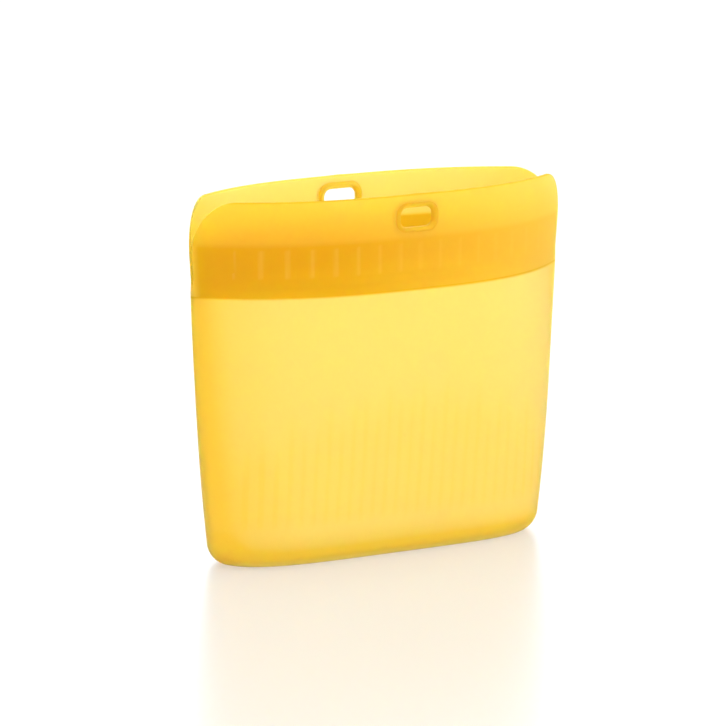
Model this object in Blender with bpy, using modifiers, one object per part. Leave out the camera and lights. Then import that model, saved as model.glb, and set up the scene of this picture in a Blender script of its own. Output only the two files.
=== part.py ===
"""Reusable silicone storage bag, standing open, as separate pieces. Metres, +Z up, front towards -Y."""

import math

import bmesh
import bpy

MM = 0.001

# Overall shape, outer surface.
HEIGHT = 190 * MM
HALF_WIDTH = 112.7 * MM
HALF_DEPTH = 37.2 * MM
MOUTH_POWER = 2.77  # how square the lens-shaped mouth is
BASE_HALF_WIDTH = 98 * MM
BASE_HALF_DEPTH = 26 * MM
BASE_POWER = 5.0
BAND_LOW = 141 * MM
BAND_HIGH = 166 * MM
FLARE = 3.8 * MM  # how much the mouth widens at each side from the band's lower edge to the top
SIDE_BULGE = 0.65
BELLY_BULGE = 0.8
BASE_ROOT = 0.5  # second power of the section at the base; it grows to 1 at the mouth
SLOPE_STEP = 0.01 * MM

# Thicknesses.
WALL_THICK = 1.5 * MM
RIB_HEIGHT = 0.9 * MM
BASE_THICK = 1.8 * MM
BAND_THICK = 3.5 * MM
LIP_THICK = 2.5 * MM
TIP_SHARE = 0.29  # what is left of the thickness at the tips of the mouth

# Base.
BASE_TOP = 12 * MM
BASE_INSET_X = 11 * MM
BASE_INSET_Y = 8 * MM
BASE_FLOOR_GAP = 1.2 * MM

# Ends of the front and the back: how far inside the tip they stop, and the rounding of the lip's corners.
END_INSET = 2.7 * MM
CORNER_WIDTH = 20 * MM
CORNER_HEIGHT = 28 * MM

# The mouth's links: where the front and the back fold when the mouth closes.
FOLDS = (35 * MM, 72 * MM)
SEAL_FOLD_GAP = 0.5 * MM
LINK_NAMES = ("left_end", "left", "centre", "right", "right_end")

# Walls meet the side folds at this share of the half width.
FOLD_SHARE = 0.93

# Hanging slots.
SLOT_Z = HEIGHT - 12 * MM
SLOT_WIDTH = 19.5 * MM
SLOT_HEIGHT = 10 * MM
SLOT_CORNER = 4 * MM
RIM_WIDTH = 28 * MM
RIM_HEIGHT = 17.4 * MM
RIM_CORNER = 7 * MM
RIM_DEPTH = 4.1 * MM
CORNER_POINTS = 6
CUTTER_DEPTH = 14 * MM
WELD_DISTANCE = 0.01 * MM

# Press seal on the inner faces of the bands.
SEAL_Z = 147 * MM
SEAL_DEEP = 1.5 * MM
TONGUE_TALL = 1.6 * MM
RAIL_TALL = 1.4 * MM
RAIL_STEP = 2.1 * MM
SEAL_END = 96 * MM

# Ribs inside the walls.
RIB_PITCH = 7 * MM
RIB_LOW = 22 * MM
RIB_HIGH = 92 * MM
RIB_ARCH = 25 * MM  # how much lower the ribs stop at the ends of a wall than in its middle
RIB_COLUMNS = 4  # columns of points per rib: valley, flank, ridge, flank

# Gaps between pieces.
GAP = 0.3 * MM
FOLD_GAP = 0.5 * MM

# Rounded edges.
RIM_BEVEL = 0.5 * MM
BAND_BEVEL = 0.4 * MM
LIP_BEVEL = 0.25 * MM
BEVEL_ANGLE = math.radians(50)

# Columns and rows of points of each kind of sheet.
BASE_EDGE_GRID = (20, 6)
BASE_CORNER_GRID = (12, 6)
FLOOR_STEPS = 10
WALL_ROWS = 8
SIDE_GRID = (12, 14)
STRIP_COLUMNS = 10
STRIP_ROWS = 4
LIP_END_ROWS = 7
ROW_CROWDING = 1.5  # rows of bands and lips get closer towards the top edge
SEAL_COLUMNS = 8

# Colour and roughness.
WALL_LOOK = ((0.98, 0.78, 0.12), 0.45)
BAND_LOOK = ((0.86, 0.52, 0.03), 0.45)
LIP_LOOK = ((0.93, 0.64, 0.06), 0.45)
RIM_LOOK = ((0.9, 0.58, 0.04), 0.4)
SEAL_LOOK = ((0.86, 0.5, 0.03), 0.4)


def clear_scene():
    for obj in list(bpy.data.objects):
        bpy.data.objects.remove(obj)


def new_collection(name):
    collection = bpy.data.collections.new(name)
    bpy.context.scene.collection.children.link(collection)
    return collection


def material(name, color, roughness):
    made = bpy.data.materials.new(name)
    made.use_nodes = True
    shader = made.node_tree.nodes["Principled BSDF"]
    shader.inputs["Base Color"].default_value = (*color, 1)
    shader.inputs["Roughness"].default_value = roughness
    return made


def section(z):
    """Half width, half depth and the two powers of the outer section at height z."""
    t = min(max(z / BAND_LOW, 0), 1)
    width_t = t + SIDE_BULGE * t * (1 - t)
    depth_t = t + BELLY_BULGE * t * (1 - t)
    rise = max((z - BAND_LOW) / (HEIGHT - BAND_LOW), 0)
    half_width = BASE_HALF_WIDTH + (HALF_WIDTH - BASE_HALF_WIDTH) * width_t + FLARE * rise
    half_depth = BASE_HALF_DEPTH + (HALF_DEPTH - BASE_HALF_DEPTH) * depth_t
    power = BASE_POWER + (MOUTH_POWER - BASE_POWER) * t
    return half_width, half_depth, power, BASE_ROOT + (1 - BASE_ROOT) * t


def depth_at(x, z):
    """Distance of the outer surface from the middle plane at x and z."""
    half_width, half_depth, power, root = section(z)
    rest = max(1 - (abs(x) / half_width) ** power, 0)
    return half_depth * rest**root


def width_at(y, z):
    """The same surface read the other way: its x at the end of the bag for a given y."""
    half_width, half_depth, power, root = section(z)
    rest = max(1 - (abs(y) / half_depth) ** (1 / root), 0)
    return half_width * rest ** (1 / power)


def corner_x(z):
    """Where the front and the back end sideways above the band's lower edge, with the lip's rounded corner."""
    over = min(max((z - (HEIGHT - CORNER_HEIGHT)) / CORNER_HEIGHT, 0), 1)
    return section(z)[0] - END_INSET - CORNER_WIDTH * (1 - math.sqrt(1 - over**2))


def inward(x, depth):
    """A point of the mouth's plan curve at the seal moved inwards by depth, as (x, distance from the middle)."""
    rise = depth_at(x + SLOPE_STEP, SEAL_Z) - depth_at(x - SLOPE_STEP, SEAL_Z)
    slope = rise / (2 * SLOPE_STEP)
    length = math.hypot(1, slope)
    return x + depth * slope / length, depth_at(x, SEAL_Z) - depth / length


def sheet(name, columns, rows, place, look, collection):
    """A grid whose points (u, v) in 0..1 are put where place says, facing away from the bag's middle."""
    mesh = bpy.data.meshes.new(name)
    bm = bmesh.new()
    bmesh.ops.create_grid(bm, x_segments=columns, y_segments=rows, size=0.5)
    for vertex in bm.verts:
        vertex.co = place(vertex.co.x + 0.5, vertex.co.y + 0.5)
    bm.normal_update()
    facing = sum(f.normal.x * f.calc_center_median().x + f.normal.y * f.calc_center_median().y for f in bm.faces)
    if facing < 0:
        bmesh.ops.reverse_faces(bm, faces=bm.faces)
    bm.to_mesh(mesh)
    bm.free()
    mesh.materials.append(look)
    for face in mesh.polygons:
        face.use_smooth = True
    obj = bpy.data.objects.new(name, mesh)
    collection.objects.link(obj)
    return obj


def thicken(obj, thickness, share_at=None):
    """Solidify inwards. share_at gives each point its share of the thickness."""
    solid = obj.modifiers.new("thickness", "SOLIDIFY")
    solid.thickness = thickness
    solid.offset = -1
    solid.use_even_offset = True
    if share_at is None:
        return
    group = obj.vertex_groups.new(name="thickness")
    for vertex in obj.data.vertices:
        group.add([vertex.index], share_at(vertex.co), "REPLACE")
    solid.vertex_group = group.name


def round_edges(obj, width):
    bevel = obj.modifiers.new("edges", "BEVEL")
    bevel.width = width
    bevel.segments = 1
    bevel.limit_method = "ANGLE"
    bevel.angle_limit = BEVEL_ANGLE


def cut(obj, cutter):
    boolean = obj.modifiers.new("cut", "BOOLEAN")
    boolean.operation = "DIFFERENCE"
    boolean.solver = "EXACT"
    boolean.object = cutter


def rounded_rectangle(curve, width, height, corner):
    """Adds a closed rounded rectangle in the curve's own plane."""
    spline = curve.splines.new("POLY")
    spline.points.add(4 * (CORNER_POINTS + 1) - 1)
    index = 0
    for turn, (sx, sy) in enumerate(((1, 1), (-1, 1), (-1, -1), (1, -1))):
        for step in range(CORNER_POINTS + 1):
            angle = math.radians(90 * (turn + step / CORNER_POINTS))
            x = sx * (width / 2 - corner) + corner * math.cos(angle)
            y = sy * (height / 2 - corner) + corner * math.sin(angle)
            spline.points[index].co = (x, y, 0, 1)
            index += 1
    spline.use_cyclic_u = True


def flat_shape(name, outlines, depth, bevel, y, collection):
    """A filled outline standing upright in the XZ plane at y, as a mesh."""
    curve = bpy.data.curves.new(name, "CURVE")
    curve.dimensions = "2D"
    curve.fill_mode = "BOTH"
    curve.extrude = depth / 2 - bevel
    curve.bevel_depth = bevel
    curve.bevel_resolution = 1
    curve.offset = -bevel
    for outline in outlines:
        rounded_rectangle(curve, *outline)
    helper = bpy.data.objects.new(name + "_curve", curve)
    mesh = bpy.data.meshes.new_from_object(helper)
    bpy.data.objects.remove(helper)
    mesh.name = name
    obj = bpy.data.objects.new(name, mesh)
    collection.objects.link(obj)
    obj.rotation_euler = (math.radians(90), 0, 0)
    obj.location = (0, y, SLOT_Z)
    weld = obj.modifiers.new("weld", "WELD")
    weld.merge_threshold = WELD_DISTANCE
    return obj


def base_edge_point(x, y, v):
    """A point of the rounded lower edge: v runs from the resting face (0) up to the walls (1)."""
    half_width, half_depth, power, root = section(BASE_TOP)
    angle = math.radians(90) * (1 - v)
    shrink = 1 - math.cos(angle)
    scale_x = 1 - BASE_INSET_X * shrink / half_width
    scale_y = 1 - BASE_INSET_Y * shrink / half_depth
    return x * scale_x, y * scale_y, BASE_TOP * (1 - math.sin(angle))


def base_border():
    """Where the long base edges meet the end ones: x at the full section, and the depth there."""
    edge = FOLD_SHARE * section(BASE_TOP)[0]
    return edge, depth_at(edge, BASE_TOP)


def make_base_side(name, side, look, collection):
    """The rounded edge under the front or the back wall."""
    edge = base_border()[0] - GAP

    def place(u, v):
        x = edge * (2 * u - 1)
        return base_edge_point(x, side * depth_at(x, BASE_TOP), v)

    obj = sheet(name, *BASE_EDGE_GRID, place, look, collection)
    thicken(obj, BASE_THICK)
    return obj


def make_base_end(name, side, look, collection):
    """The rounded corner under a side fold."""
    fold = depth_at(base_border()[0] + GAP, BASE_TOP)

    def place(u, v):
        y = fold * (2 * u - 1)
        return base_edge_point(side * width_at(y, BASE_TOP), y, v)

    obj = sheet(name, *BASE_CORNER_GRID, place, look, collection)
    thicken(obj, BASE_THICK)
    return obj


def make_base_floor(name, look, collection):
    """The flat plate inside the rounded edges, which the bag stands on."""
    edge, fold = base_border()
    shares = [i / FLOOR_STEPS for i in range(-FLOOR_STEPS, FLOOR_STEPS + 1)]
    outline = [(edge * share, -depth_at(edge * share, BASE_TOP)) for share in shares]
    outline += [(width_at(fold * share, BASE_TOP), fold * share) for share in shares[1:-1]]
    outline += [(-x, -y) for x, y in outline]
    bm = bmesh.new()
    corners = []
    for x, y in outline:
        point = base_edge_point(x, y, 0)
        length = math.hypot(point[0], point[1])
        inset = (length - BASE_FLOOR_GAP) / length
        corners.append(bm.verts.new((point[0] * inset, point[1] - math.copysign(BASE_FLOOR_GAP, y), 0)))
    face = bm.faces.new(corners)
    face.normal_update()
    if face.normal.z > 0:
        face.normal_flip()
    mesh = bpy.data.meshes.new(name)
    bm.to_mesh(mesh)
    bm.free()
    mesh.materials.append(look)
    obj = bpy.data.objects.new(name, mesh)
    collection.objects.link(obj)
    thicken(obj, BASE_THICK)
    return obj


def make_wall(name, side, look, collection):
    """A front or back wall from the base to the band, ribbed inside over its lower part."""
    low = BASE_TOP + GAP
    high = BAND_LOW - GAP / 2
    columns = RIB_COLUMNS * int(2 * FOLD_SHARE * BASE_HALF_WIDTH / RIB_PITCH)

    def place(u, v):
        z = low + (high - low) * v
        x = (FOLD_SHARE * section(z)[0] - GAP / 2) * (2 * u - 1)
        return x, side * depth_at(x, z), z

    obj = sheet(name, columns, WALL_ROWS, place, look, collection)
    full = WALL_THICK + RIB_HEIGHT

    def share_at(co):
        u = round((co.x / (FOLD_SHARE * section(co.z)[0] - GAP / 2) + 1) / 2 * columns)
        reach = RIB_HIGH - RIB_ARCH * (2 * u / columns - 1) ** 2
        in_ribs = RIB_LOW < co.z < reach and 0 < u < columns
        return 1 if in_ribs and u % RIB_COLUMNS in (1, 2) else WALL_THICK / full

    thicken(obj, full, share_at)
    return obj


def make_side(name, side, look, collection):
    """The folded side between the two walls, from the base to the foot of the mouth."""
    low = BASE_TOP + GAP
    high = BAND_LOW - GAP / 2

    def place(u, v):
        z = low + (high - low) * v
        fold = depth_at(FOLD_SHARE * section(z)[0] + GAP / 2, z)
        y = fold * (2 * u - 1)
        return side * width_at(y, z), y, z

    obj = sheet(name, *SIDE_GRID, place, look, collection)
    thicken(obj, WALL_THICK)
    return obj


def link_span(index):
    """The x range of one link of the mouth, with the gaps at its folds."""
    outside = HALF_WIDTH + FLARE
    borders = (-outside, -FOLDS[1], -FOLDS[0], FOLDS[0], FOLDS[1], outside)
    low = borders[index] + FOLD_GAP / 2
    high = borders[index + 1] - FOLD_GAP / 2
    return low, high


def span_at(index, z, limit):
    """The same range at height z, held inside the lip's corner."""
    low, high = link_span(index)
    return max(low, -limit(z)), min(high, limit(z))


def tip_share(co):
    """Full thickness along the mouth, thinning towards its tips."""
    t = min(max((abs(co.x) - SEAL_END) / (corner_x(BAND_LOW) - SEAL_END), 0), 1)
    return 1 + (TIP_SHARE - 1) * t


def make_strip(name, index, side, span_z, thickness, look, collection, rows=STRIP_ROWS):
    """A piece of band or lip: one link's length of the mouth's outer surface, thickened inwards."""
    low, high = span_z

    def place(u, v):
        z = low + (high - low) * (1 - (1 - v) ** ROW_CROWDING)
        left, right = span_at(index, z, corner_x)
        x = left + (right - left) * u
        return x, side * depth_at(x, z), z

    obj = sheet(name, STRIP_COLUMNS, rows, place, look, collection)
    thicken(obj, thickness, tip_share)
    return obj


def make_seal_strip(name, index, side, middle, tall, look, collection):
    """A bar of the press seal, standing on the inner face of a band."""

    def place(u, v):
        z = middle + tall * (v - 0.5)
        left, right = span_at(index, z, lambda _: SEAL_END)
        left += SEAL_FOLD_GAP
        right -= SEAL_FOLD_GAP
        x, y = inward(left + (right - left) * u, BAND_THICK + GAP / 2)
        return x, side * y, z

    obj = sheet(name, SEAL_COLUMNS, 1, place, look, collection)
    thicken(obj, SEAL_DEEP)
    return obj


def make_slot_rim(name, side, look, collection):
    """The thick rim round a hanging slot."""
    y = side * (HALF_DEPTH - LIP_THICK / 2)
    outlines = ((RIM_WIDTH, RIM_HEIGHT, RIM_CORNER), (SLOT_WIDTH, SLOT_HEIGHT, SLOT_CORNER))
    obj = flat_shape(name, outlines, RIM_DEPTH, RIM_BEVEL, y, collection)
    obj.data.materials.append(look)
    return obj


def make_mouth_side(side_name, side, looks, parts, cutters):
    """Band, lip and press seal of the front or the back, link by link."""
    opening = ((RIM_WIDTH + 2 * GAP, RIM_HEIGHT + 2 * GAP, RIM_CORNER + GAP),)
    cutter = flat_shape(side_name + "_slot_cutter", opening, CUTTER_DEPTH, 0, side * HALF_DEPTH, cutters)
    cutter.hide_render = True
    cutter.display_type = "WIRE"
    for index, link in enumerate(LINK_NAMES):
        stem = side_name + "_" + link
        band = make_strip(
            stem + "_band", index, side, (BAND_LOW + GAP / 2, BAND_HIGH - GAP / 2), BAND_THICK, looks["band"], parts
        )
        round_edges(band, BAND_BEVEL)
        lip_span = (BAND_HIGH + GAP / 2, HEIGHT)
        lip_rows = LIP_END_ROWS if link.endswith("end") else STRIP_ROWS
        lip = make_strip(stem + "_lip", index, side, lip_span, LIP_THICK, looks["lip"], parts, rows=lip_rows)
        if link == "centre":
            cut(lip, cutter)
        else:
            round_edges(lip, LIP_BEVEL)
        if side < 0:
            for place_name, step in (("upper", RAIL_STEP), ("lower", -RAIL_STEP)):
                name = stem + "_seal_rail_" + place_name
                make_seal_strip(name, index, side, SEAL_Z + step, RAIL_TALL, looks["seal"], parts)
        else:
            make_seal_strip(stem + "_seal_tongue", index, side, SEAL_Z, TONGUE_TALL, looks["seal"], parts)
    make_slot_rim(side_name + "_slot_rim", side, looks["rim"], parts)


def main():
    clear_scene()
    parts = new_collection("silicone_bag")
    cutters = new_collection("cutters")
    looks = {
        "wall": material("silicone_wall", *WALL_LOOK),
        "band": material("silicone_band", *BAND_LOOK),
        "lip": material("silicone_lip", *LIP_LOOK),
        "rim": material("silicone_rim", *RIM_LOOK),
        "seal": material("silicone_seal", *SEAL_LOOK),
    }
    make_base_floor("base_floor", looks["wall"], parts)
    make_base_side("front_base_edge", -1, looks["wall"], parts)
    make_base_side("back_base_edge", 1, looks["wall"], parts)
    make_base_end("left_base_corner", -1, looks["wall"], parts)
    make_base_end("right_base_corner", 1, looks["wall"], parts)
    make_wall("front_wall", -1, looks["wall"], parts)
    make_wall("back_wall", 1, looks["wall"], parts)
    make_side("left_side_fold", -1, looks["wall"], parts)
    make_side("right_side_fold", 1, looks["wall"], parts)
    make_mouth_side("front", -1, looks, parts, cutters)
    make_mouth_side("back", 1, looks, parts, cutters)


main()
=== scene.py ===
"""Looks of the reusable silicone bag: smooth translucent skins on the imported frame.

Metres, +Z up, front towards -Y.
"""

import math

import bmesh
import bpy
import numpy as np
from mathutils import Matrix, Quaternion, Vector


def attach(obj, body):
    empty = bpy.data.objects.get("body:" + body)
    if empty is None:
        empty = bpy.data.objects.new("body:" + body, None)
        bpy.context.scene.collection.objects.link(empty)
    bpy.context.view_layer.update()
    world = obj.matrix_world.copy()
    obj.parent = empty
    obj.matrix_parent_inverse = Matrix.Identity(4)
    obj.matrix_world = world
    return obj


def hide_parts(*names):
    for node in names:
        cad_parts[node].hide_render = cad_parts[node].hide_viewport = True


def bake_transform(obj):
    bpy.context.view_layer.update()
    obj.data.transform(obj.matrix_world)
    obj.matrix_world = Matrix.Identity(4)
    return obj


MM = 0.001
FRONT = -1
BACK = 1

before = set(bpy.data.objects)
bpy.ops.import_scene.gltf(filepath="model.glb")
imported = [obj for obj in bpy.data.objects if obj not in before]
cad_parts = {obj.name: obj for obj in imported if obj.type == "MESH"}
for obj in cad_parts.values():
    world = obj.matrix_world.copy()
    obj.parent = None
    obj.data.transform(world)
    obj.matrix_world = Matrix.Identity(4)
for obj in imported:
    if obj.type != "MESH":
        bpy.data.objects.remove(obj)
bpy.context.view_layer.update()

# Overall shape, outer surface, as in the solids.
HEIGHT = 190 * MM
HALF_WIDTH = 112.7 * MM
HALF_DEPTH = 37.2 * MM
MOUTH_POWER = 2.77  # how square the lens-shaped mouth is
BASE_HALF_WIDTH = 98 * MM
BASE_HALF_DEPTH = 26 * MM
BASE_POWER = 5.0
BASE_ROOT = 0.5  # second power of the section at the base; it grows to 1 at the mouth
BASE_TOP = 12 * MM
BASE_INSET_X = 11 * MM
BASE_INSET_Y = 8 * MM
BAND_LOW = 141 * MM
BAND_HIGH = 166 * MM
FLARE = 3.8 * MM  # how much the mouth widens at each side from the band's lower edge to the top
SIDE_BULGE = 0.65
BELLY_BULGE = 0.8
SLOPE_STEP = 0.01 * MM

# Ends of the front and the back: how far inside the tip they stop, and the rounding of the lip's corners.
END_INSET = 1.6 * MM
CORNER_WIDTH = 20 * MM
CORNER_HEIGHT = 28 * MM
NOTCH_RISE = 9 * MM  # front and back part over this height above the band's lower edge

# Thicknesses.
WALL_THICK = 1.5 * MM
SIDE_EXTRA = 0.7 * MM
SIDE_EXTRA_FROM = 0.86  # share of the half width
SIDE_EXTRA_OVER = 0.12
BASE_EXTRA = 0.9 * MM
BASE_EXTRA_HEIGHT = 14 * MM
BAND_THICK = 3.4 * MM
BAND_STEP = 1.6 * MM
LIP_THICK = 2.9 * MM
LIP_TAPER = 1.0 * MM
TIP_THICK = 0.9 * MM
SEAL_END = 96 * MM
TOP_ROUND = 1.2 * MM
RIM_SHARE = 0.3  # how far the rounded border stands out, as a share of the thickness
INNER_SHARE = 0.7  # how far towards the middle plane the inner surface may go near the side seams
WELD_DISTANCE = 0.0002 * MM

# Ribs inside the walls.
RIB_HEIGHT = 0.43 * MM
RIB_PITCH = 7 * MM
RIB_LOW = 18 * MM
RIB_LOW_FADE = 8 * MM
RIB_HIGH = 95 * MM
RIB_HIGH_FADE = 25 * MM
RIB_ARCH = 30 * MM  # how much lower the ribs stop at the ends of a wall than in its middle
RIB_WAVE = 6 * MM  # uneven upper ends
RIB_WAVE_RATE = 2.4
RIB_END = 0.93  # share of the half width
RIB_END_FADE = 0.05
RIB_STEEPNESS = 1.3
RIB_VALLEY = -0.2

# Grip pads of the front band, with shallow grooves between them.
PAD_START = -96.5 * MM
PAD_PITCH = 12.35 * MM
PAD_SLOT = 1.8 * MM
PAD_DEEP = 0.8 * MM
PAD_LOW = 150 * MM

# Hanging slots.
SLOT_Z = HEIGHT - 12 * MM
SLOT_WIDTH = 19.5 * MM
SLOT_HEIGHT = 10 * MM
SLOT_CORNER = 4 * MM
SLOT_MARGIN = 3 * MM  # how much wider and taller the opening in the lip is, hidden in the rim
SLOT_CUT_CORNER = 5.5 * MM
SLOT_CUT_REACH = 12 * MM
RIM_WIDTH = 28 * MM
RIM_HEIGHT = 17.4 * MM
RIM_CORNER = 7 * MM
RIM_RISE = 1.75 * MM
RIM_SWELL_LOW = 0.35
RIM_SWELL_HIGH = 1.15

# Press seal on the inner faces of the bands.
SEAL_Z = 147 * MM
SEAL_DEEP = 1.5 * MM
SEAL_SINK = 0.3 * MM  # the bars start this far inside the band
SEAL_END_POWER = 14
SEAL_END_LEAST = 0.02
TONGUE_TALL = 1.6 * MM
RAIL_TALL = 1.5 * MM
RAIL_STEP = 2.1 * MM

# How the mouth closes.
CLOSED_GAP = 4.5 * MM
FIRST_FOLD = 35 * MM
PRESS_FOOT = 8 * MM  # below this the walls hardly move
LEAN = 0.35  # part of the walls' movement that grows evenly with height

# Points across and along each piece.
COLUMNS = 221
FLAT_ROWS = 5
ROUND_ROWS = 10
WALL_ROWS = 46
STEP_ROWS = 5
NOTCH_ROWS = 17
BAND_ROWS = 26
LIP_ROWS = 12
TOP_ROWS = 18
TOP_ROWS_REACH = 7 * MM
TOP_ROWS_POWER = 1.8
LOOP_STEPS = 10
RIM_RING = 20
SEAL_COLUMNS = 161
SEAL_RING = 12

# Silicone colours, linear, and their place between tone 0 and tone 1.
PALE = (1.0, 0.81, 0.28)
AMBER = (0.97, 0.71, 0.095)
DEEP = (0.80, 0.53, 0.015)
AMBER_TONE = 0.6

# Tones. Painted light on the front: paler towards the right, as if lit from that side. Painted shade on the
# front lip, its rim and just above its band, where the back lip and band lie behind them.
SIDE_TONE = 0.18
SIDE_TONE_FROM = 0.6  # share of the half width
SIDE_TONE_OVER = 0.38
BASE_TONE = 0.6
BASE_TONE_HEIGHT = 22 * MM
# On the front the band's deep colour runs this far up the lip: painted shade of the back band seen through
# it.
BAND_SHADE_FADE = 9 * MM
BAND_END = 1.02  # share of the half width
BAND_END_FADE = 0.06
# The lip's own depth, deeper towards the band; the front's higher values are painted shade where the back
# lip and band lie behind it.
LIP_TONES_AND_SHADE = {FRONT: 0.56, BACK: 0.26}
LIP_DEEPER_AND_SHADE = {FRONT: 0.3, BACK: 0.1}
EDGE_TONE = 0.4
PAD_TONE = 0.15
# The front rim is deeper than the back one: painted shade of the back lip behind it.
RIM_TONES_AND_SHADE = {FRONT: 0.85, BACK: 0.6}
SEAL_TONE = 0.6
# Painted light: above the band the front grows paler towards the right, as if lit from that side.
RIGHT_PAINTED_LIGHT = 0.27
PAINTED_LIGHT_START = -60 * MM
PAINTED_LIGHT_REACH = 150 * MM

# Silicone surface and depth.
SCATTER_RADIUS = (1.0, 0.62, 0.12)
SCATTER_SCALE = 6 * MM
SILICONE_ROUGHNESS = 0.5
SILICONE_IOR = 1.15
SILICONE_TRANSMISSION = 0.62
GRAIN_SCALE = 900
GRAIN_DETAIL = 3
GRAIN_STRENGTH = 0.05
GRAIN_DEPTH = 0.3 * MM

# Floor, shining a little like a light table.
FLOOR_SIZE = 60
FLOOR_GREY = 0.25
FLOOR_GLOW = 0.42
FLOOR_ROUGHNESS = 0.3
FLOOR_IOR = 1.45

# Lights: name, place, target, size and power.
WORLD_STRENGTH = 1.38
LIGHTS = (
    ("key", (1.6, -0.9, 1.1), (0, 0, 0.1), (1.2, 1.2), 16),
    ("low", (-0.9, -1.6, 0.3), (0, 0, 0.03), (1.6, 0.3), 6),
    ("behind", (0.6, 1.4, 1.0), (0, 0, 0.09), (1.4, 1.0), 10),
)

# Camera.
AZIMUTH = math.radians(-33.4)
ELEVATION = math.radians(10.6)
ROLL = math.radians(0.47)
DISTANCE = 2.946
LENS = 282.3
SENSOR = 36
CLIP_START = 0.05
CLIP_END = 100
AIM = Vector((0, 0, 0.095))
AIM_RIGHT = -6.7 * MM
AIM_UP = 1.3 * MM


def smooth(t):
    """0 up to t = 0, 1 from t = 1, and an even curve between them."""
    t = np.clip(t, 0, 1)
    return t * t * (3 - 2 * t)


def section(z):
    """Half width, half depth and the two powers of the outer section at heights z."""
    t = np.clip(z / BAND_LOW, 0, 1)
    width_t = t + SIDE_BULGE * t * (1 - t)
    depth_t = t + BELLY_BULGE * t * (1 - t)
    rise = np.maximum((z - BAND_LOW) / (HEIGHT - BAND_LOW), 0)
    half_width = BASE_HALF_WIDTH + (HALF_WIDTH - BASE_HALF_WIDTH) * width_t + FLARE * rise
    half_depth = BASE_HALF_DEPTH + (HALF_DEPTH - BASE_HALF_DEPTH) * depth_t
    power = BASE_POWER + (MOUTH_POWER - BASE_POWER) * t
    return half_width, half_depth, power, BASE_ROOT + (1 - BASE_ROOT) * t


def depth_at(x, z):
    """Distance of the outer surface from the middle plane at x and z."""
    half_width, half_depth, power, root = section(z)
    rest = np.clip(1 - (np.abs(x) / half_width) ** power, 0, 1)
    return half_depth * rest**root


def slope_at(x, z):
    """How fast that distance changes with x."""
    return (depth_at(x + SLOPE_STEP, z) - depth_at(x - SLOPE_STEP, z)) / (2 * SLOPE_STEP)


def half_width_at(z):
    return section(z)[0]


def corner_x(z):
    """Where the front and the back end sideways above the notch, with the lip's rounded corner."""
    over = np.clip((z - (HEIGHT - CORNER_HEIGHT)) / CORNER_HEIGHT, 0, 1)
    return half_width_at(z) - END_INSET - CORNER_WIDTH * (1 - np.sqrt(1 - over**2))


def end_x(z):
    """Where the front and the back end sideways: together up to the band, then apart."""
    apart = smooth((z - BAND_LOW) / NOTCH_RISE)
    return half_width_at(z) + (corner_x(z) - half_width_at(z)) * apart


def unit(vectors):
    """The vectors of a grid, each made one long."""
    return vectors / np.maximum(np.linalg.norm(vectors, axis=2, keepdims=True), 1e-12)


def normals_of(points):
    """Unit normals of a grid of points (rows, columns, 3)."""
    return unit(np.cross(np.gradient(points, axis=1), np.gradient(points, axis=0)))


def row_heights():
    """Heights of the rows above the base, closest where the thickness changes."""
    band_end = BAND_HIGH + BAND_STEP
    top_start = HEIGHT - TOP_ROWS_REACH
    return np.concatenate([
        np.linspace(BASE_TOP, BAND_LOW - BAND_STEP, WALL_ROWS)[:-1],
        np.linspace(BAND_LOW - BAND_STEP, BAND_LOW, STEP_ROWS)[:-1],
        np.linspace(BAND_LOW, BAND_LOW + NOTCH_RISE, NOTCH_ROWS)[:-1],
        np.linspace(BAND_LOW + NOTCH_RISE, band_end, BAND_ROWS)[:-1],
        np.linspace(band_end, top_start, LIP_ROWS)[:-1],
        HEIGHT - TOP_ROWS_REACH * (1 - np.linspace(0, 1, TOP_ROWS)) ** TOP_ROWS_POWER,
    ])


def outer_grid(side):
    """Outer surface of one half: from the middle line of the base, round its edge and up to the lip."""
    across = np.sin(np.linspace(-1, 1, COLUMNS) * math.pi / 2)
    rows = []
    half_width, half_depth, power, root = section(np.array(BASE_TOP))
    plan = np.clip(1 - np.abs(across) ** power, 0, 1) ** root
    for k in range(FLAT_ROWS):
        xs = (half_width - BASE_INSET_X) * across
        ys = (half_depth - BASE_INSET_Y) * k / FLAT_ROWS * plan
        rows.append(np.stack([xs, side * ys, 0 * xs], -1))
    for k in range(ROUND_ROWS):
        angle = math.pi / 2 * (1 - k / ROUND_ROWS)
        shrink = 1 - math.cos(angle)
        xs = (half_width - BASE_INSET_X * shrink) * across
        ys = (half_depth - BASE_INSET_Y * shrink) * plan
        rows.append(np.stack([xs, side * ys, 0 * xs + BASE_TOP * (1 - math.sin(angle))], -1))
    for z in row_heights():
        width = half_width_at(z) if z <= BAND_LOW else end_x(z)
        xs = width * across
        rows.append(np.stack([xs, side * depth_at(xs, z), 0 * xs + z], -1))
    return np.array(rows)


def pad_grooves(x, z):
    """1 in the shallow grooves between the grip pads of the front band, 0 elsewhere."""
    step = np.abs(((x - PAD_START) / PAD_PITCH + 0.5) % 1 - 0.5) * PAD_PITCH
    groove = smooth((PAD_SLOT - step) / PAD_SLOT) * (np.abs(x) < SEAL_END)
    return groove * smooth((z - PAD_LOW) / BAND_STEP) * smooth((BAND_HIGH - z) / BAND_STEP)


def band_share(z, fade):
    """1 over the height of the band, going down to 0 over the height fade above it."""
    return smooth((z - BAND_LOW + BAND_STEP) / BAND_STEP) * smooth((BAND_HIGH + fade - z) / fade)


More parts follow.
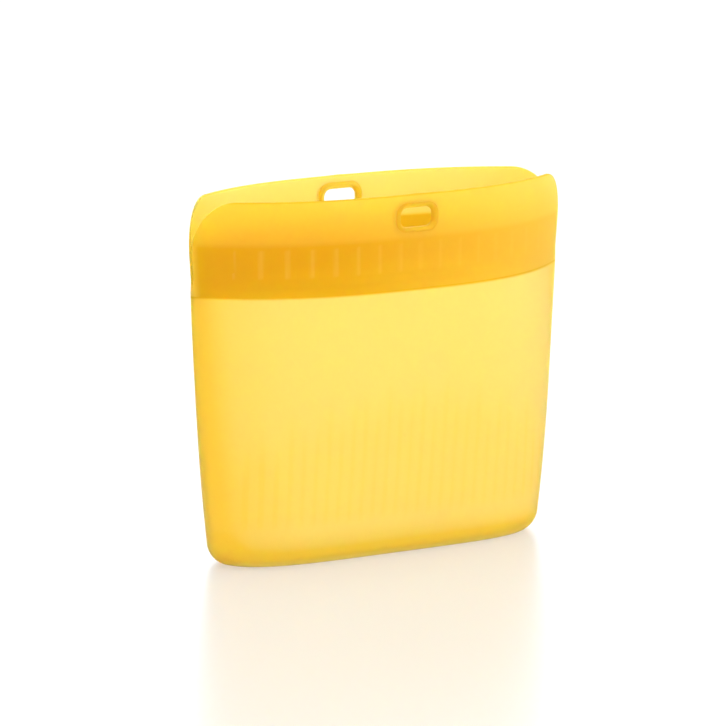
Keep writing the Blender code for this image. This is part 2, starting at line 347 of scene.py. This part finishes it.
def rib_share(x, z, share):
    """Height of the ribs, 0 to 1, over the lower part of the walls."""
    top = RIB_HIGH - RIB_ARCH * (x / BASE_HALF_WIDTH) ** 2 + RIB_WAVE * np.sin(x / RIB_PITCH * RIB_WAVE_RATE)
    ribs = smooth((z - RIB_LOW) / RIB_LOW_FADE) * smooth((top - z) / RIB_HIGH_FADE)
    ribs = ribs * smooth((RIB_END - share) / RIB_END_FADE)
    wave = np.clip(np.cos(x / RIB_PITCH * 2 * math.pi) * RIB_STEEPNESS, RIB_VALLEY, 1)
    return ribs * (wave + 1) / 2


def thickness_at(x, z, side):
    """Wall, band and lip thickness of one half, with ribs inside the wall and pads on the front band."""
    share = np.abs(x) / half_width_at(z)
    thick = WALL_THICK + RIB_HEIGHT * rib_share(x, z, share)
    at_fold = smooth((share - SIDE_EXTRA_FROM) / SIDE_EXTRA_OVER)
    thick = thick + SIDE_EXTRA * at_fold * (z < BAND_LOW + NOTCH_RISE)
    thick = thick + BASE_EXTRA * smooth((BASE_EXTRA_HEIGHT - z) / BASE_EXTRA_HEIGHT)
    lip = smooth((z - BAND_LOW) / BAND_STEP)
    taper = np.clip((z - BAND_HIGH) / (HEIGHT - BAND_HIGH), 0, 1)
    thick = thick + (LIP_THICK - LIP_TAPER * taper - thick) * lip
    thick = thick + (BAND_THICK - thick) * band_share(z, BAND_STEP)
    if side == FRONT:
        thick = thick - PAD_DEEP * pad_grooves(x, z)
    tip = smooth((np.abs(x) - SEAL_END) / (corner_x(np.array(BAND_LOW)) - SEAL_END)) * lip
    thick = thick + (TIP_THICK - thick) * tip
    return thick * (0.5 + 0.5 * np.sqrt(np.clip((HEIGHT - z) / TOP_ROUND, 0, 1)))


def tone_at(x, z, thick, side):
    """Depth of colour, 0 pale to 1 deep: by thickness, deeper at the folds, the base and the band, with
    painted shade on the front lip and painted light making the front paler towards the right.
    """
    tone = (thick - WALL_THICK) / (BAND_THICK - WALL_THICK)
    share = np.abs(x) / half_width_at(z)
    # On the front the band's colour runs up the lip, and the lip is deeper than at the back: painted shade
    # of the back band and lip behind it.
    band = band_share(z, BAND_SHADE_FADE if side == FRONT else BAND_STEP)
    lip_tone_and_shade = LIP_TONES_AND_SHADE[side] + LIP_DEEPER_AND_SHADE[side] * np.clip((HEIGHT - z) / (HEIGHT - BAND_HIGH), 0, 1)
    tone = tone + (lip_tone_and_shade - tone) * smooth((z - BAND_HIGH) / BAND_STEP)
    tone = np.maximum(tone, band * smooth((BAND_END - share) / BAND_END_FADE))
    around = SIDE_TONE * smooth((share - SIDE_TONE_FROM) / SIDE_TONE_OVER)
    around = around + BASE_TONE * smooth((BASE_TONE_HEIGHT - z) / BASE_TONE_HEIGHT)
    tone = np.maximum(tone, np.minimum(tone + around * (1 - band), AMBER_TONE))
    # Painted light: above the band the front grows paler towards the right.
    painted_light_share = 1 - RIGHT_PAINTED_LIGHT * smooth((x - PAINTED_LIGHT_START) / PAINTED_LIGHT_REACH) * (side == FRONT)
    tone = np.where(z > BAND_LOW, tone * painted_light_share, tone)
    tone = tone + EDGE_TONE * smooth((z - HEIGHT + TOP_ROUND) / TOP_ROUND)
    if side == FRONT:
        # The paler grooves between the pads fade out under that painted light.
        tone = tone - PAD_TONE * pad_grooves(x, z) * painted_light_share**4
    return np.clip(tone, 0, 1)


def bag_half(side):
    """Outer and inner grids of one half and the depth of colour at their points."""
    outer = outer_grid(side)
    n = normals_of(outer)
    middle = (outer.shape[0] // 2, outer.shape[1] // 2)
    if n[middle][1] * side < 0:
        n = -n
    n[: FLAT_ROWS + 1] = (0, 0, -1)
    x, z = outer[..., 0], outer[..., 2]
    upright = z > BAND_LOW
    n[upright] = np.stack([-slope_at(x, z), side + 0 * x, 0 * x], -1)[upright]
    n = unit(n)
    thick = thickness_at(x, z, side)
    room = np.abs(outer[..., 1]) / thick * INNER_SHARE
    n[..., 1] = side * np.minimum(np.abs(n[..., 1]), room)
    inner = outer - unit(n) * thick[..., None]
    return outer, inner, tone_at(x, z, thick, side)


def new_piece(name, points, faces, tones):
    """A smooth mesh object with the depth of colour stored at its points."""
    mesh = bpy.data.meshes.new(name)
    mesh.from_pydata(points, [], faces)
    attribute = mesh.attributes.new("tone", "FLOAT", "POINT")
    attribute.data.foreach_set("value", np.asarray(tones, np.float32))
    mesh.polygons.foreach_set("use_smooth", [True] * len(mesh.polygons))
    obj = bpy.data.objects.new(name, mesh)
    bpy.context.scene.collection.objects.link(obj)
    return obj


def face_out(obj, weld=0):
    """Joins points closer than weld, and turns the faces round if the volume comes out negative."""
    bm = bmesh.new()
    bm.from_mesh(obj.data)
    if weld:
        bmesh.ops.remove_doubles(bm, verts=bm.verts, dist=weld)
    if bm.calc_volume(signed=True) < 0:
        bmesh.ops.reverse_faces(bm, faces=bm.faces)
    bm.to_mesh(obj.data)
    bm.free()
    return obj


def open_border(outer, inner):
    """The free border of one half, notch to notch over the lip: its grid places, and a rim outside them."""
    rows, columns = outer.shape[:2]
    heights = row_heights()
    notch = rows - len(heights) + int(np.argmax(heights >= BAND_LOW - 1e-9))
    edge = [(i, columns - 1) for i in range(notch, rows)]
    edge += [(rows - 1, j) for j in range(columns - 2, -1, -1)]
    edge += [(i, 0) for i in range(rows - 2, notch - 1, -1)]
    middle = (outer + inner) / 2
    rim = []
    for i, j in edge:
        away = outer[i, j] - outer[min(i, rows - 2), min(max(j, 1), columns - 2)]
        length = max(np.linalg.norm(away), 1e-9)
        reach = np.linalg.norm(outer[i, j] - inner[i, j]) * RIM_SHARE
        rim.append(middle[i, j] + away / length * reach * (i > notch))
    return edge, np.array(rim)


def half_faces(rows, columns, edge):
    """Faces of one half, whose points are the outer grid, the inner grid and the rim, in that order."""
    count = rows * columns
    faces = []
    for i in range(rows - 1):
        for j in range(columns - 1):
            a = i * columns + j
            b, c, d = a + 1, a + columns + 1, a + columns
            faces.append((a, b, c, d))
            faces.append((count + a, count + d, count + c, count + b))
    for k in range(len(edge) - 1):
        a = edge[k][0] * columns + edge[k][1]
        b = edge[k + 1][0] * columns + edge[k + 1][1]
        rim_a, rim_b = 2 * count + k, 2 * count + k + 1
        faces.append((b, a, rim_a, rim_b))
        faces.append((rim_b, rim_a, count + a, count + b))
    return faces


def bag_skin():
    """The moulding, one closed mesh: both halves welded at the base and the sides up to the notches."""
    points, tones, faces = [], [], []
    for side in (FRONT, BACK):
        outer, inner, tone = bag_half(side)
        edge, rim = open_border(outer, inner)
        first = sum(len(p) for p in points)
        points += [outer.reshape(-1, 3), inner.reshape(-1, 3), rim]
        tones += [tone.ravel(), tone.ravel(), np.array([tone[i, j] for i, j in edge])]
        turn = 1 if side == FRONT else -1
        faces += [tuple(first + v for v in face[::turn]) for face in half_faces(*outer.shape[:2], edge)]
    obj = new_piece("bag_skin", np.concatenate(points).tolist(), faces, np.concatenate(tones))
    return face_out(obj, WELD_DISTANCE)


def follow_press(obj):
    """Bakes the placing into the points and works out a weight for each point, the share of the mouth's
    movement it would follow: nothing at the base and the side seams, all the way in the middle of the band.

    The weight is a share of the front's travel, so the back half has negative ones and would move the other
    way. The weights are not stored, so the mesh does not move.
    """
    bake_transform(obj)
    co = np.zeros(len(obj.data.vertices) * 3)
    obj.data.vertices.foreach_get("co", co)
    x, y, z = co.reshape(-1, 3).T
    travel = depth_at(np.array(FIRST_FOLD), np.array(BAND_HIGH)) - CLOSED_GAP
    weight = np.clip((depth_at(x, np.maximum(z, 0)) - CLOSED_GAP) / travel, 0, 1)
    rise = smooth((z - PRESS_FOOT) / (BAND_LOW - PRESS_FOOT))
    lean = LEAN * np.clip(z / BAND_LOW, 0, 1) + (1 - LEAN) * rise
    weight = weight * np.where(z < BAND_LOW, lean, 1)
    weight = (weight * -np.sign(y)).astype(np.float32)
    return obj


def rounded_loop(width, height, corner):
    """Points round a rounded rectangle, as (x, z)."""
    points = []
    for turn, (sx, sz) in enumerate(((1, 1), (-1, 1), (-1, -1), (1, -1))):
        for step in range(LOOP_STEPS + 1):
            angle = math.radians(90 * (turn + step / LOOP_STEPS))
            x = sx * (width / 2 - corner) + corner * math.cos(angle)
            z = sz * (height / 2 - corner) + corner * math.sin(angle)
            points.append((x, z))
    return np.array(points)


def cut_slot(obj, side):
    """Cuts a hanging slot, a little wider than the rim's bore, with a Boolean that is applied at once."""
    loop = rounded_loop(SLOT_WIDTH + SLOT_MARGIN, SLOT_HEIGHT + SLOT_MARGIN, SLOT_CUT_CORNER)
    count = len(loop)
    near, far = side * (HALF_DEPTH - SLOT_CUT_REACH), side * (HALF_DEPTH + SLOT_CUT_REACH)
    points = [(x, near, SLOT_Z + z) for x, z in loop] + [(x, far, SLOT_Z + z) for x, z in loop]
    faces = [tuple(range(count)), tuple(range(2 * count - 1, count - 1, -1))]
    faces += [(i, i + count, (i + 1) % count + count, (i + 1) % count) for i in range(count)]
    mesh = bpy.data.meshes.new("slot_cutter")
    mesh.from_pydata(points, [], faces)
    cutter = bpy.data.objects.new("slot_cutter", mesh)
    bpy.context.scene.collection.objects.link(cutter)
    face_out(cutter)
    boolean = obj.modifiers.new("slot", "BOOLEAN")
    boolean.operation = "DIFFERENCE"
    boolean.solver = "EXACT"
    boolean.object = cutter
    graph = bpy.context.evaluated_depsgraph_get()
    mesh = bpy.data.meshes.new_from_object(obj.evaluated_get(graph))
    obj.modifiers.clear()
    obj.data = mesh
    bpy.data.objects.remove(cutter)


def ring_faces(first, second, ring):
    """The strip of faces between two rings of points."""
    faces = []
    for k in range(ring):
        after = (k + 1) % ring
        faces.append((first + k, first + after, second + after, second + k))
    return faces


def slot_rim(side):
    """The soft raised rim round a hanging slot: an oval bead swept round the slot."""
    inner = rounded_loop(SLOT_WIDTH, SLOT_HEIGHT, SLOT_CORNER)
    outer = rounded_loop(RIM_WIDTH, RIM_HEIGHT, RIM_CORNER)
    around = len(inner)
    middle_y = side * (HALF_DEPTH - LIP_THICK / 2)
    points = []
    for (ax, az), (bx, bz) in zip(inner, outer):
        for k in range(RIM_RING):
            angle = 2 * math.pi * k / RIM_RING
            share = 0.5 - 0.5 * math.cos(angle)
            swell = min(math.sqrt(max(1 - share, 0)) + RIM_SWELL_LOW, RIM_SWELL_HIGH)
            y = middle_y + math.sin(angle) * RIM_RISE * swell
            points.append((ax + (bx - ax) * share, y, SLOT_Z + az + (bz - az) * share))
    faces = []
    for i in range(around):
        faces += ring_faces(i * RIM_RING, (i + 1) % around * RIM_RING, RIM_RING)
    name = ("front" if side == FRONT else "back") + "_slot_rim_skin"
    # The front rim is deeper than the back one: painted shade of the back lip behind it.
    return face_out(new_piece(name, points, faces, [RIM_TONES_AND_SHADE[side]] * len(points)))


def seal_bar(name, side, middle, tall):
    """A bar of the press seal along the inner face of a band, with rounded edges and tapered ends."""
    xs = np.linspace(-SEAL_END, SEAL_END, SEAL_COLUMNS)
    slope = slope_at(xs, SEAL_Z)
    depth = depth_at(xs, np.array(SEAL_Z))
    points = []
    for x, s, length, base_y in zip(xs, slope, np.hypot(1, slope), depth):
        taper = math.sqrt(max(1 - (abs(x) / SEAL_END) ** SEAL_END_POWER, SEAL_END_LEAST))
        for k in range(SEAL_RING):
            angle = 2 * math.pi * k / SEAL_RING
            out = SEAL_DEEP * taper * (0.5 + 0.5 * math.sin(angle))
            inward = BAND_THICK - SEAL_SINK + max(out, 0)
            z = middle + tall / 2 * taper * math.cos(angle)
            points.append((x + inward * s / length, side * (base_y - inward / length), z))
    faces = []
    for i in range(len(xs) - 1):
        faces += ring_faces(i * SEAL_RING, (i + 1) * SEAL_RING, SEAL_RING)
    faces.append(tuple(range(SEAL_RING)))
    faces.append(tuple(range(len(points) - 1, len(points) - SEAL_RING - 1, -1)))
    return face_out(new_piece(name, points, faces, [SEAL_TONE] * len(points)))


def silicone(name):
    """Translucent silicone: the colour deepens with the tone stored on the mesh."""
    made = bpy.data.materials.new(name)
    made.use_nodes = True
    nodes, links = made.node_tree.nodes, made.node_tree.links
    shader = nodes["Principled BSDF"]
    shader.subsurface_method = "RANDOM_WALK"
    shader.inputs["Subsurface Weight"].default_value = 1.0
    shader.inputs["Subsurface Radius"].default_value = SCATTER_RADIUS
    shader.inputs["Subsurface Scale"].default_value = SCATTER_SCALE
    shader.inputs["Roughness"].default_value = SILICONE_ROUGHNESS
    shader.inputs["IOR"].default_value = SILICONE_IOR
    shader.inputs["Transmission Weight"].default_value = SILICONE_TRANSMISSION
    tone = nodes.new("ShaderNodeAttribute")
    tone.attribute_name = "tone"
    colour = nodes.new("ShaderNodeValToRGB")
    ramp = colour.color_ramp
    ramp.elements[0].color = (*PALE, 1)
    ramp.elements[1].color = (*DEEP, 1)
    ramp.elements.new(AMBER_TONE).color = (*AMBER, 1)
    links.new(tone.outputs["Fac"], colour.inputs["Fac"])
    grain = nodes.new("ShaderNodeTexNoise")
    grain.inputs["Scale"].default_value = GRAIN_SCALE
    grain.inputs["Detail"].default_value = GRAIN_DETAIL
    bump = nodes.new("ShaderNodeBump")
    bump.inputs["Strength"].default_value = GRAIN_STRENGTH
    bump.inputs["Distance"].default_value = GRAIN_DEPTH
    coords = nodes.new("ShaderNodeTexCoord")
    links.new(coords.outputs["Object"], grain.inputs["Vector"])
    links.new(grain.outputs["Fac"], bump.inputs["Height"])
    links.new(bump.outputs["Normal"], shader.inputs["Normal"])
    links.new(colour.outputs["Color"], shader.inputs["Base Color"])
    return made


def white_floor():
    """A large glossy floor that glows a little, so it looks as white as the background."""
    bpy.ops.mesh.primitive_plane_add(size=FLOOR_SIZE, location=(0, 0, 0))
    floor = bpy.context.object
    floor.name = "floor"
    made = bpy.data.materials.new("floor_white")
    made.use_nodes = True
    shader = made.node_tree.nodes["Principled BSDF"]
    shader.inputs["Base Color"].default_value = (FLOOR_GREY, FLOOR_GREY, FLOOR_GREY, 1)
    shader.inputs["Emission Color"].default_value = (1, 1, 1, 1)
    shader.inputs["Emission Strength"].default_value = FLOOR_GLOW
    shader.inputs["Roughness"].default_value = FLOOR_ROUGHNESS
    shader.inputs["IOR"].default_value = FLOOR_IOR
    floor.data.materials.append(made)


def area(name, place, target, size, power):
    """A rectangular light at place, turned towards target."""
    light = bpy.data.lights.new(name, "AREA")
    light.shape = "RECTANGLE"
    light.size, light.size_y = size
    light.energy = power
    obj = bpy.data.objects.new(name, light)
    obj.location = place
    obj.rotation_euler = (Vector(target) - Vector(place)).to_track_quat("-Z", "Y").to_euler()
    bpy.context.scene.collection.objects.link(obj)


def lights():
    """White surroundings and the studio lights."""
    world = bpy.data.worlds.new("studio")
    world.use_nodes = True
    background = world.node_tree.nodes["Background"]
    background.inputs["Color"].default_value = (1, 1, 1, 1)
    background.inputs["Strength"].default_value = WORLD_STRENGTH
    bpy.context.scene.world = world
    for light in LIGHTS:
        area(*light)


def camera():
    """A long lens at the photograph's viewing angle."""
    data = bpy.data.cameras.new("camera")
    data.lens = LENS
    data.sensor_width = SENSOR
    data.clip_start = CLIP_START
    data.clip_end = CLIP_END
    obj = bpy.data.objects.new("camera", data)
    back = Vector((
        math.sin(AZIMUTH) * math.cos(ELEVATION),
        -math.cos(AZIMUTH) * math.cos(ELEVATION),
        math.sin(ELEVATION),
    ))
    right = Vector((math.cos(AZIMUTH), math.sin(AZIMUTH), 0))
    up = right.cross(-back)
    obj.location = AIM + back * DISTANCE + right * AIM_RIGHT + up * AIM_UP
    obj.rotation_mode = "QUATERNION"
    obj.rotation_quaternion = (-back).to_track_quat("-Z", "Y") @ Quaternion((0, 0, 1), ROLL)
    bpy.context.scene.collection.objects.link(obj)
    bpy.context.scene.camera = obj


def add_rim(side, word, look):
    """Adds a slot rim, which moves with the middle of its lip."""
    rim = slot_rim(side)
    rim.data.materials.append(look)
    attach(rim, word + "_centre")
    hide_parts(word + "_slot_rim")


def add_seal(name, side, middle, tall, ending, look):
    """Adds a seal bar, which stands for all the nodes with this ending."""
    bar = seal_bar(name, side, middle, tall)
    bar.data.materials.append(look)
    follow_press(bar)
    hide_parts(*[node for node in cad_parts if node.endswith(ending)])


def main():
    look = silicone("silicone")
    skin = bag_skin()
    for side in (FRONT, BACK):
        cut_slot(skin, side)
    skin.data.materials.append(look)
    follow_press(skin)
    others = ("_seal_rail_upper", "_seal_rail_lower", "_seal_tongue", "_slot_rim")
    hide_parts(*[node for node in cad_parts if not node.endswith(others)])
    for side, word in ((FRONT, "front"), (BACK, "back")):
        add_rim(side, word, look)
    for place, step in (("upper", RAIL_STEP), ("lower", -RAIL_STEP)):
        ending = "_seal_rail_" + place
        add_seal("front" + ending + "_skin", FRONT, SEAL_Z + step, RAIL_TALL, ending, look)
    add_seal("back_seal_tongue_skin", BACK, SEAL_Z, TONGUE_TALL, "_seal_tongue", look)
    white_floor()
    lights()
    camera()
    bpy.context.scene.view_settings.view_transform = "Standard"


main()
